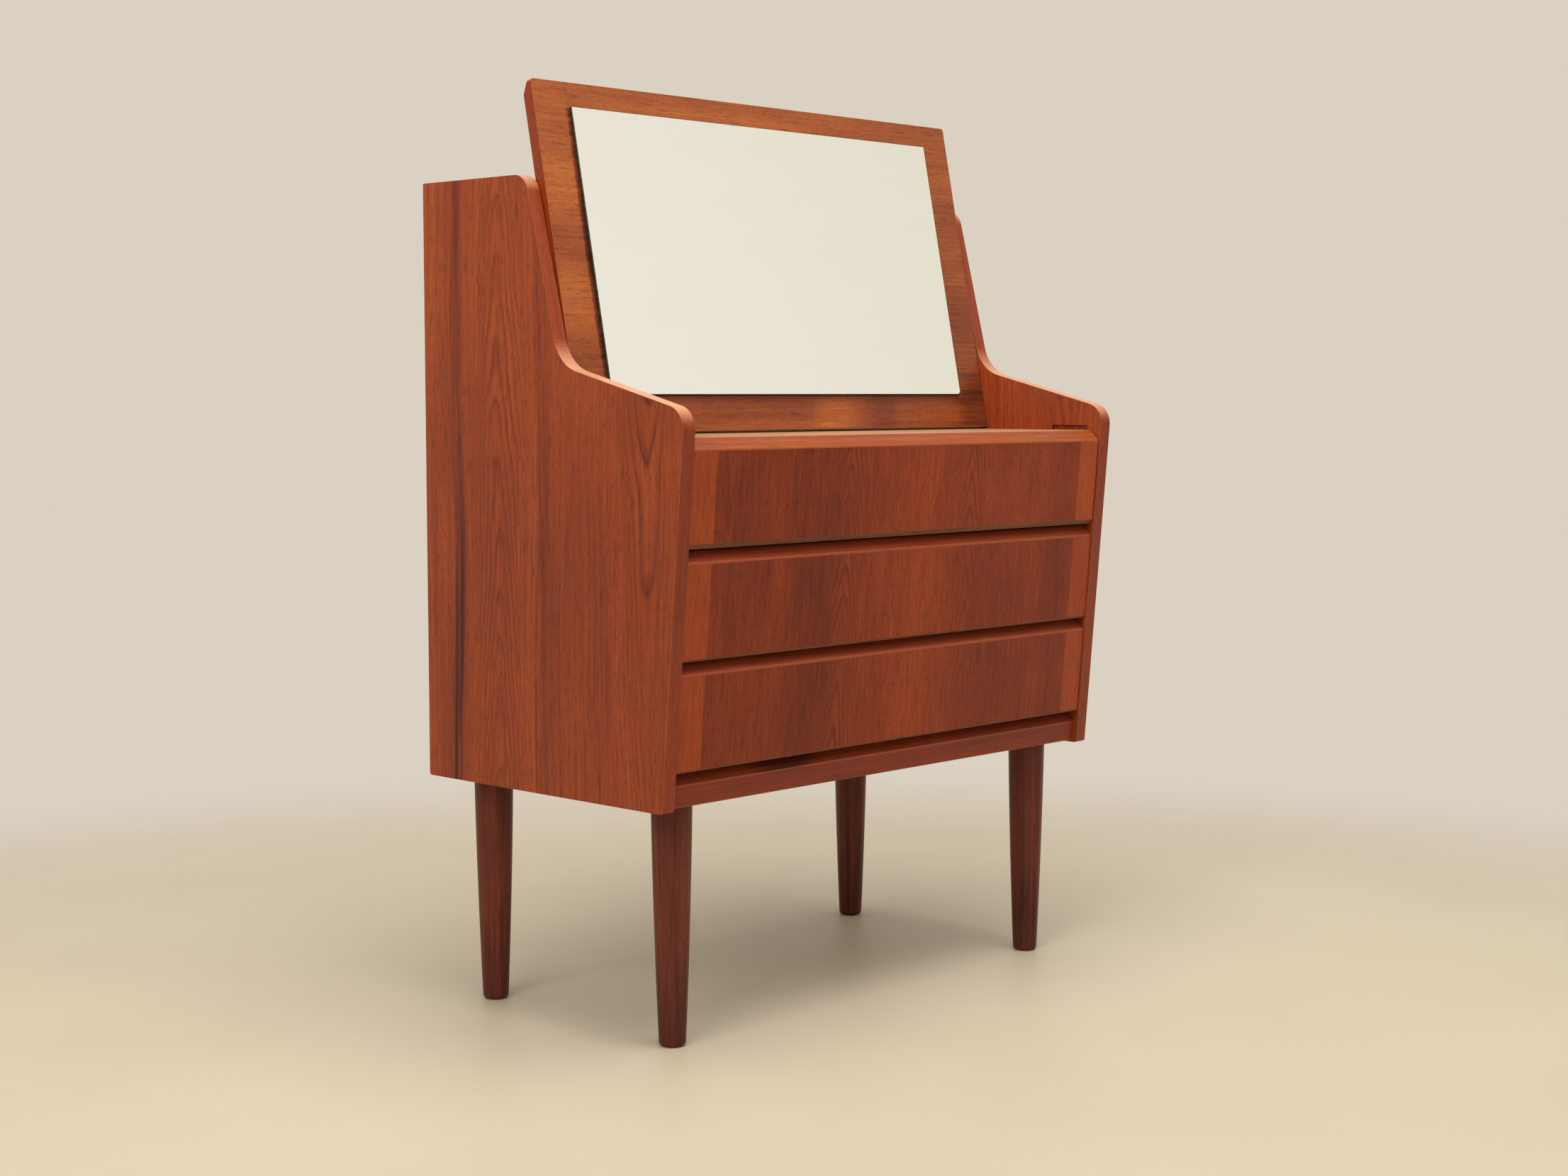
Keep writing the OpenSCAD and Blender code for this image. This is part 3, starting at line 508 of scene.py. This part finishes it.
def veneeredBoard(name, node, facing, look, body, materials):
    # rounds a board's outline and gives the rim a UV map in metres that runs along it
    bm = mergedCopy(node)
    outer = max((face for face in bm.faces if face.normal.dot(facing) > squareOn),
                key=lambda face: face.calc_area())
    corners = [loop.vert.co.copy() for loop in outer.loops]
    near = rimLook["onOutline"] * mm
    onOutline = {vert: nearestRun(vert.co, corners, facing)[0] < near for vert in bm.verts}
    count = roundEdges(bm, lambda edge: all(onOutline.get(vert, False) for vert in edge.verts),
                       look["round"], look["segments"])
    lengths = [0.0]
    for corner, after in zip(corners, corners[1:] + corners[:1]):
        lengths.append(lengths[-1] + (after - corner).length)
    runMap = bm.loops.layers.uv.new("edgeRun")
    wearAndHighlight = bm.faces.layers.float["edgeWearAndHighlight"]
    for face in bm.faces:
        if abs(face.normal.dot(facing)) > rimLook["flat"]:
            continue
        face.material_index = 1
        # painted highlight: the more a rim face looks up, the paler it is painted, as if lit from above
        upward = min(max((face.normal.z - rimLook["highlightFrom"]) / rimLook["highlightOver"], 0.0), 1.0)
        face[wearAndHighlight] = max(face[wearAndHighlight] * rimLook["arrisWear"], upward)
        i = nearestRun(face.calc_center_median(), corners, facing)[1]
        start = corners[i]
        direction = (corners[(i + 1) % len(corners)] - start).normalized()
        for loop in face.loops:
            away = loop.vert.co - start
            loop[runMap].uv = (lengths[i] + away.dot(direction), away.dot(facing))
    print(name, "rounded", count, "edges")
    return keepPiece(bm, name, body, materials, [node])


sideLook = {"round": 1.9, "segments": 4}
for name, node, outward in (("sideBoardLeft", "side_left", -1), ("sideBoardRight", "side_right", 1)):
    veneeredBoard(name, node, Vector((outward, 0, 0)), sideLook, "carcass", [teakVeneerSide, teakVeneerEdge])

# the mirror board: bare and painted pale along its foot, and plain behind
mirrorBoardLook = {"round": 1.3, "segments": 3}
mirrorWoods = [teakVeneerMirror, teakVeneerEdge, bareFootPaintedLit, teakVeneerBack]
mirrorBoard = veneeredBoard("mirrorBoard", "mirror_panel", mirrorFacing, mirrorBoardLook, "mirror",
                            mirrorWoods)
for polygon in mirrorBoard.data.polygons:
    if polygon.normal.dot(mirrorDown) > 0.9:
        polygon.material_index = 2
    elif polygon.normal.dot(mirrorFacing) < -rimLook["flat"]:
        polygon.material_index = 3

# the mirror glass, its front arris ground to a narrow bevel that gets a painted glint only on the right,
# where it faces away from the window and shows its ground surface; the other bevels and the sides get painted
# shade
glassLook = {"bevel": 0.8, "segments": 1, "slant": 0.3, "sharpAngle": 10}
glass = mergedCopy("mirror_glass")
roundEdges(glass, lambda edge: any(face.normal.dot(mirrorFacing) > squareOn for face in edge.link_faces),
           glassLook["bevel"], glassLook["segments"])
for face in glass.faces:
    forward = face.normal.dot(mirrorFacing)
    if forward > squareOn:
        face.material_index = 0
    elif forward > glassLook["slant"] and face.normal.x > glassLook["slant"]:
        face.material_index = 1
    else:
        face.material_index = 2
keepPiece(glass, "mirrorGlass", "mirror", [silver, glassGlintRight, glassEdgeShade], ["mirror_glass"],
          glassLook["sharpAngle"])
print("the mirror is built")

# drawer fronts: the parts are glued flush, so only the outer arrises are rounded
frontLook = {"arris": 1.8, "arrisSegments": 4, "arrisUp": 2, "outer": 0.8, "outerSegments": 3,
             "outerAngle": 0.6, "foot": 0.6, "footSegments": 2}
boxLook = {"rim": 1.0, "segments": 2}
for number, body in drawerBodies.items():
    prefix = f"drawer_{number}_"
    lippingLow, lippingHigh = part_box(prefix + "top_lipping")
    seam = lippingLow.z + tiny
    halfWidth = lippingHigh.x
    arrisHeight = lippingLow.z + frontLook["arrisUp"] * mm

    lipping = mergedCopy(prefix + "top_lipping")
    roundEdges(lipping, lambda edge: all(abs(vert.co.z - arrisHeight) < 0.2 * mm for vert in edge.verts),
               frontLook["arris"], frontLook["arrisSegments"])
    roundEdges(lipping, lambda edge: not all(vert.co.z < seam for vert in edge.verts),
               frontLook["outer"], frontLook["outerSegments"], frontLook["outerAngle"])
    keepPiece(lipping, f"topLipping{number}", body, [teakSolidPlaned], [prefix + "top_lipping"])

    strips = mergedCopy(prefix + "end_strips")
    roundEdges(strips, lambda edge: all(abs(abs(vert.co.x) - halfWidth) < tiny for vert in edge.verts),
               frontLook["outer"], frontLook["outerSegments"])
    keepPiece(strips, f"endStrips{number}", body, [teakEndStrip], [prefix + "end_strips"])

    foot = mergedCopy(prefix + "bottom_lipping")
    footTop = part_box(prefix + "bottom_lipping")[1].z - tiny
    roundEdges(foot, lambda edge: not all(vert.co.z > footTop for vert in edge.verts),
               frontLook["foot"], frontLook["footSegments"])
    keepPiece(foot, f"footStrip{number}", body, [fumedOak], [prefix + "bottom_lipping"])

    nodes[prefix + "front"].material_slots[0].material = teakVeneerFront

    # drawer box: planed beech with its top edges eased
    for part, wood in (("side_left", beechAlong), ("side_right", beechAlong), ("back", beechAcross)):
        board = mergedCopy(prefix + part)
        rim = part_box(prefix + part)[1].z - tiny
        roundEdges(board, lambda edge: all(vert.co.z > rim for vert in edge.verts),
                   boxLook["rim"], boxLook["segments"])
        keepPiece(board, f"box_{part}_{number}", body, [wood], [prefix + part])
    nodes[prefix + "bottom"].material_slots[0].material = birchPly
print("drawers are built")

# apron under the lowest drawer, rounded along its length
apronLook = {"arris": 1.4, "segments": 3, "longEdge": 100}
apron = mergedCopy("apron")
longEdge = apronLook["longEdge"] * mm
roundEdges(apron, lambda edge: abs(edge.verts[0].co.x - edge.verts[1].co.x) > longEdge,
           apronLook["arris"], apronLook["segments"])
keepPiece(apron, "apronBoard", "carcass", [teakSolidPlaned], ["apron"])

# turned legs: a slight swell from a rounded foot to the shoulder
legLook = {"footRadius": 16, "swell": 8.5, "bulge": 0.45, "footRound": 5, "footRings": 6, "rings": 16,
           "steps": 56}


def legRadius(share):  # share of the leg's height
    bulge = legLook["bulge"]
    return legLook["footRadius"] + legLook["swell"] * ((1 + bulge) * share - bulge * share * share)


for corner in ("front_left", "front_right", "back_left", "back_right"):
    low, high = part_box("leg_" + corner)
    centre = (low + high) / 2
    tall = (high.z - low.z) / mm
    footRound = legLook["footRound"]
    profile = [(0, 0)]
    for i in range(legLook["footRings"] + 1):
        angle = math.radians(90 * i / legLook["footRings"])
        height = footRound * (1 - math.cos(angle))
        profile.append((legRadius(height / tall) - footRound * (1 - math.sin(angle)), height))
    for i in range(1, legLook["rings"] + 1):
        height = footRound + (tall - footRound) * i / legLook["rings"]
        profile.append((legRadius(height / tall), height))
    profile.append((0, tall))
    leg = bmesh.new()
    line = [leg.verts.new((centre.x + out * mm, centre.y, low.z + up * mm)) for out, up in profile]
    edges = [leg.edges.new(pair) for pair in zip(line, line[1:])]
    bmesh.ops.spin(leg, geom=line + edges, cent=(centre.x, centre.y, 0), axis=(0, 0, 1), angle=2 * math.pi,
                   steps=legLook["steps"], use_merge=True)
    bmesh.ops.remove_doubles(leg, verts=leg.verts, dist=tiny)
    bmesh.ops.recalc_face_normals(leg, faces=leg.faces)
    keepPiece(leg, "turnedLeg_" + corner, "carcass", [teakTurned], ["leg_" + corner])
print("legs are turned")

# back screws with round heads, each turned its own way
screwLook = {"slotWide": 1.0, "slotDeep": 0.7, "shankShare": 0.42, "point": 2, "domeRings": 5, "steps": 20,
             "turnEach": 2.4}
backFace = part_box("back_panel")[1].y
halfSlot = screwLook["slotWide"] / 2 * mm
point = screwLook["point"] * mm
source = mergedCopy("back_screws")
heads = bmesh.new()
screwNumber = 0
found = set()
for first in source.verts:
    if first in found:
        continue
    found.add(first)
    group = [first]
    for vert in group:  # the list grows as neighbours are found, until the whole screw is in it
        for edge in vert.link_edges:
            other = edge.other_vert(vert)
            if other not in found:
                found.add(other)
                group.append(other)
    across, outward, upward = ([vert.co[axis] for vert in group] for axis in range(3))
    radius = (max(across) - min(across)) / 2
    shank = radius * screwLook["shankShare"]
    outside, tip = max(outward), min(outward)
    profile = [(0, outside)]
    for i in range(1, screwLook["domeRings"] + 1):
        angle = math.radians(90 * i / screwLook["domeRings"])
        profile.append((radius * math.sin(angle), backFace + (outside - backFace) * math.cos(angle)))
    profile += [(shank, backFace - point), (shank, tip + point), (0, tip)]
    head = bmesh.new()
    line = [head.verts.new((out, y, 0)) for out, y in profile]
    edges = [head.edges.new(pair) for pair in zip(line, line[1:])]
    bmesh.ops.spin(head, geom=line + edges, cent=(0, 0, 0), axis=(0, 1, 0), angle=2 * math.pi,
                   steps=screwLook["steps"], use_merge=True)
    bmesh.ops.remove_doubles(head, verts=head.verts, dist=tiny)
    for side in (-halfSlot, halfSlot):
        bmesh.ops.bisect_plane(head, geom=head.verts[:] + head.edges[:] + head.faces[:], dist=tiny / 100,
                               plane_co=(side, 0, 0), plane_no=(1, 0, 0))
    bmesh.ops.recalc_face_normals(head, faces=head.faces)
    slotFaces = [face for face in head.faces if abs(face.calc_center_median().x) < halfSlot
                 and face.calc_center_median().y > backFace + tiny]
    # known fault: the faces over the slot stay, so the slot is covered and the head's faces point inwards
    sunk = bmesh.ops.extrude_face_region(head, geom=slotFaces)["geom"]
    sunkVerts = [part for part in sunk if isinstance(part, bmesh.types.BMVert)]
    bmesh.ops.translate(head, vec=(0, -screwLook["slotDeep"] * mm, 0), verts=sunkVerts)
    middle = Vector(((min(across) + max(across)) / 2, 0, (min(upward) + max(upward)) / 2))
    turn = Matrix.Rotation(screwNumber * screwLook["turnEach"], 4, "Y")
    bmesh.ops.transform(head, matrix=Matrix.Translation(middle) @ turn, verts=head.verts)
    scratch = bpy.data.meshes.new("screwHead")
    head.to_mesh(scratch)
    head.free()
    heads.from_mesh(scratch)
    bpy.data.meshes.remove(scratch)
    screwNumber += 1
source.free()
keepPiece(heads, "backScrews", "carcass", [zincSteel], ["back_screws"])
print("screws:", screwNumber)

# the CAD nodes whose shape is right, each with its finish
finishes = {
    "table_top": teakVeneerTop, "top_shelf": teakVeneerTop, "bottom_panel": bottomBoard,
    "back_panel": hardboard, "mirror_stop": teakSolidPlaned, "carcass_dowels": beechAcross,
    "runner_screws": zincSteel, "bumper_pads": woolFelt, "pivot_pin_left": zincSteel,
    "pivot_pin_right": zincSteel, "pivot_washers": nylon, "pivot_bush_left": brass, "pivot_bush_right": brass,
    "leg_studs": zincSteel, "leg_nuts": zincSteel, "mirror_tape": foamTape,
}
for number in drawerBodies:
    for hand in ("left", "right"):
        finishes[f"drawer_{number}_runner_{hand}"] = beechAlong
for node, material in finishes.items():
    nodes[node].material_slots[0].material = material
print("finishes are given")

# floor: pale, plain, slightly satin; far from the piece it runs out into the studio's own colour
wallColour = "#dbd1c2"
floorLook = {"dark": "#b6ad9b", "light": "#bab19f", "cloudScale": 3.0, "roughness": 0.5, "radius": 12.0,
             "shift": (0.45, 0.42, 0), "clearTo": 1.5, "goneAt": 2.4}
material, tree, shader = newMaterial("floorPale")
place = addNode(tree, "ShaderNodeTexCoord").outputs["Object"]
cloud = addNode(tree, "ShaderNodeTexNoise", {"Vector": place, "Scale": floorLook["cloudScale"],
                                             "Detail": 4.0}).outputs["Fac"]
colour = addNode(tree, "ShaderNodeValToRGB", (cloud,), [(0.3, floorLook["dark"]), (0.7, floorLook["light"])])
tree.links.new(colour.outputs["Color"], shader.inputs["Base Color"])
shader.inputs["Roughness"].default_value = floorLook["roughness"]
shifted = addNode(tree, "ShaderNodeMapping", {"Vector": place, "Location": floorLook["shift"]})
distance = addNode(tree, "ShaderNodeVectorMath", (shifted,), operation="LENGTH").outputs["Value"]
gone = addNode(tree, "ShaderNodeMapRange", (distance, floorLook["clearTo"], floorLook["goneAt"]),
               interpolation_type="SMOOTHSTEP")
glow = addNode(tree, "ShaderNodeEmission", {"Color": linearColour(wallColour), "Strength": 1.0})
mixed = addNode(tree, "ShaderNodeMixShader", (gone, shader, glow))
tree.links.new(mixed.outputs[0], tree.nodes["Material Output"].inputs["Surface"])
ground = bmesh.new()
bmesh.ops.create_circle(ground, cap_ends=True, segments=96, radius=floorLook["radius"])
floorMesh = bpy.data.meshes.new("floor")
ground.to_mesh(floorMesh)
ground.free()
floor = bpy.data.objects.new("floor", floorMesh)
scene.collection.objects.link(floor)
floorMesh.materials.append(material)

# studio: an even pale room, lighter in front, where it is dim below table height; pairs are where a change
# starts and ends, as parts of a direction
roomLook = {"turned": (0.1, -0.9), "dimColour": "#503d30", "dimmest": 0.9, "below": (0.14, 0.0),
            "inFront": (0.1, -0.2), "strength": 1.0,
            "colours": [(0.0, wallColour), (0.15, wallColour), (0.6, "#e6dfce"), (0.85, "#f4f0e5")]}
world = bpy.data.worlds.new("studio")
scene.world = world
world.use_nodes = True
tree = world.node_tree
way = addNode(tree, "ShaderNodeSeparateXYZ", {0: addNode(tree, "ShaderNodeTexCoord").outputs["Generated"]})
turnedShare = addNode(tree, "ShaderNodeMapRange", (way.outputs["Y"], *roomLook["turned"]))
roomColour = addNode(tree, "ShaderNodeValToRGB", (turnedShare,), roomLook["colours"])
starts, ends = roomLook["below"]
raised = addNode(tree, "ShaderNodeMapRange",
                 {0: way.outputs["Z"], 1: starts, 2: ends, 4: roomLook["dimmest"]},
                 interpolation_type="SMOOTHSTEP")
inFront = addNode(tree, "ShaderNodeMapRange", (way.outputs["Y"], *roomLook["inFront"]),
                  interpolation_type="SMOOTHSTEP")
dimming = addNode(tree, "ShaderNodeMath", (raised, inFront), operation="MULTIPLY")
# as a backdrop the room has one plain colour all round, and the mirror doesn't show the dim part either
rays = addNode(tree, "ShaderNodeLightPath")
unmirrored = addNode(tree, "ShaderNodeMath", (1.0, rays.outputs["Is Singular Ray"]), operation="SUBTRACT")
dimmed = addNode(tree, "ShaderNodeMath", (dimming, unmirrored), operation="MULTIPLY")
room = addNode(tree, "ShaderNodeMix", {"Factor": dimmed, "A": roomColour,
                                       "B": linearColour(roomLook["dimColour"])}, data_type="RGBA")
seen = rays.outputs["Is Camera Ray"]
backdrop = addNode(tree, "ShaderNodeMix", {"Factor": seen, "A": room.outputs["Result"],
                                           "B": linearColour(wallColour)}, data_type="RGBA")
tree.links.new(backdrop.outputs["Result"], tree.nodes["Background"].inputs["Color"])
tree.nodes["Background"].inputs["Strength"].default_value = roomLook["strength"]

# soft light from a window on the left and from above
lights = {
    "windowLight": {"from": (-3.0, -0.9, 2.3), "size": (1.8, 1.4), "watts": 50, "colour": "#fff4e6"},
    "ceilingLight": {"from": (-0.2, -0.5, 2.9), "size": (1.8, 1.8), "watts": 74, "colour": "#fffaf2"},
}
lightsAim = Vector((0, 0, 0.7))
for name, look in lights.items():
    data = bpy.data.lights.new(name, "AREA")
    data.shape = "RECTANGLE"
    data.size, data.size_y = look["size"]
    data.energy = look["watts"]
    data.color = linearColour(look["colour"])[:3]
    lamp = bpy.data.objects.new(name, data)
    scene.collection.objects.link(lamp)
    lamp.location = look["from"]
    lamp.rotation_euler = (lightsAim - Vector(look["from"])).to_track_quat("-Z", "Y").to_euler()

# camera: standing at the front left corner, at table height
cameraLook = {"location": (-2.2394, -2.1303, 0.7642), "pitch": -0.0817, "heading": -0.8110, "lens": 54.75,
              "sensor": 36.0}
cameraData = bpy.data.cameras.new("camera")
cameraData.lens = cameraLook["lens"]
cameraData.sensor_width = cameraLook["sensor"]
camera = bpy.data.objects.new("camera", cameraData)
scene.collection.objects.link(camera)
camera.location = cameraLook["location"]
camera.rotation_euler = (math.pi / 2 + cameraLook["pitch"], 0, cameraLook["heading"])
scene.camera = camera
scene.view_settings.view_transform = "Standard"
print("scene is lit")
